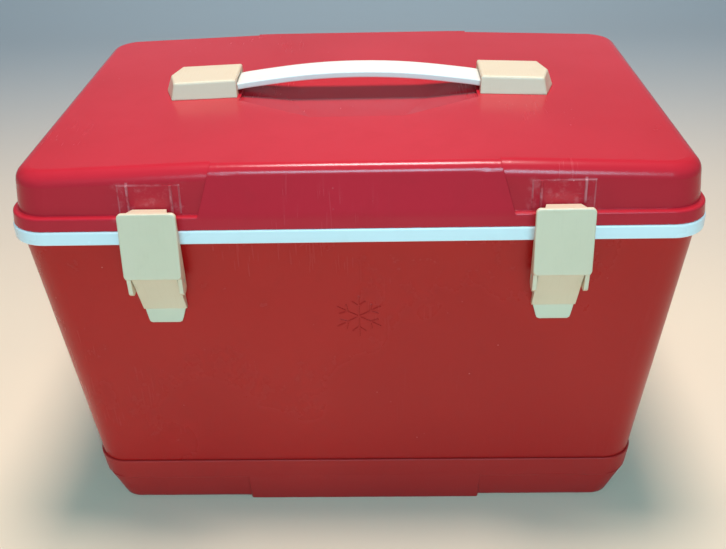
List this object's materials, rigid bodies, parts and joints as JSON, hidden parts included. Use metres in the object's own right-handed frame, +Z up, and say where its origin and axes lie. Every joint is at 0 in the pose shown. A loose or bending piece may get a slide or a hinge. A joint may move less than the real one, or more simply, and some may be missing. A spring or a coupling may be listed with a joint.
{
  "type": "cooler chest",
  "caption": "Rectangular insulated cooler chest with a hinged foam-filled lid, over-centre draw latches in front and a low strap handle on top.",
  "frame": {"origin": "on the floor below the middle of the case, where the foot's underside rests", "axes": "+X along the chest to the right as seen from the latches, +Y from the latches to the hinges, +Z up"},
  "size_m": [0.4, 0.3003, 0.2683],
  "materials": {
    "red_shell": "gloss",
    "white_liner": "satin",
    "foam": "matte",
    "gasket": "matte",
    "white_strap": "satin",
    "cream_fittings": "satin",
    "steel_pin": "satin",
    "steel_screw": "satin"
  },
  "bodies": {
    "case": {"case_shell": "red_shell", "base_tray": "red_shell", "case_foam": "foam", "liner": "white_liner", "latch_screws": "steel_screw", "hinge_screws_case": "steel_screw", "latch_bracket_left": "cream_fittings", "latch_lever_pin_left": "steel_pin", "hinge_leaf_case_left": "cream_fittings", "hinge_pin_left": "steel_pin", "latch_bracket_right": "cream_fittings", "latch_lever_pin_right": "steel_pin", "hinge_leaf_case_right": "cream_fittings", "hinge_pin_right": "steel_pin"},
    "lid": {"lid_shell": "red_shell", "lid_foam": "foam", "lid_liner": "white_liner", "lid_gasket": "gasket", "handle_screws": "steel_screw", "hinge_screws_lid": "steel_screw", "handle_cap_left": "cream_fittings", "hinge_leaf_lid_left": "cream_fittings", "handle_cap_right": "cream_fittings", "hinge_leaf_lid_right": "cream_fittings"},
    "handle": {"handle_strap": "white_strap"},
    "lever_left": {"latch_lever_left": "cream_fittings"},
    "hook_left": {"latch_hook_left": "cream_fittings", "latch_hook_pin_left": "steel_pin"},
    "lever_right": {"latch_lever_right": "cream_fittings"},
    "hook_right": {"latch_hook_right": "cream_fittings", "latch_hook_pin_right": "steel_pin"}
  },
  "joints": [
    {"name": "lid_hinge", "type": "hinge", "parent": "case", "child": "lid", "pos_m": [0, 0.1446, 0.2224], "axis": [-1, 0, 0], "range_deg": [0, 100]},
    {"name": "handle_lift", "type": "slide", "parent": "lid", "child": "handle", "axis": [0, 0, 1], "range_m": [0, 0.002]},
    {"name": "latch_lever_left", "type": "hinge", "parent": "case", "child": "lever_left", "pos_m": [-0.115, -0.1446, 0.2], "axis": [-1, 0, 0], "range_deg": [0, 100]},
    {"name": "latch_hook_left", "type": "hinge", "parent": "lever_left", "child": "hook_left", "pos_m": [-0.115, -0.1428, 0.189], "axis": [-1, 0, 0], "range_deg": [-116, 0]},
    {"name": "latch_lever_right", "type": "hinge", "parent": "case", "child": "lever_right", "pos_m": [0.115, -0.1446, 0.2], "axis": [-1, 0, 0], "range_deg": [0, 100]},
    {"name": "latch_hook_right", "type": "hinge", "parent": "lever_right", "child": "hook_right", "pos_m": [0.115, -0.1428, 0.189], "axis": [-1, 0, 0], "range_deg": [-116, 0]}
  ],
  "couplings": [
    {"joint": "latch_hook_left", "follows": "latch_lever_left", "ratio": -1.15},
    {"joint": "latch_hook_right", "follows": "latch_lever_right", "ratio": -1.15}
  ]
}
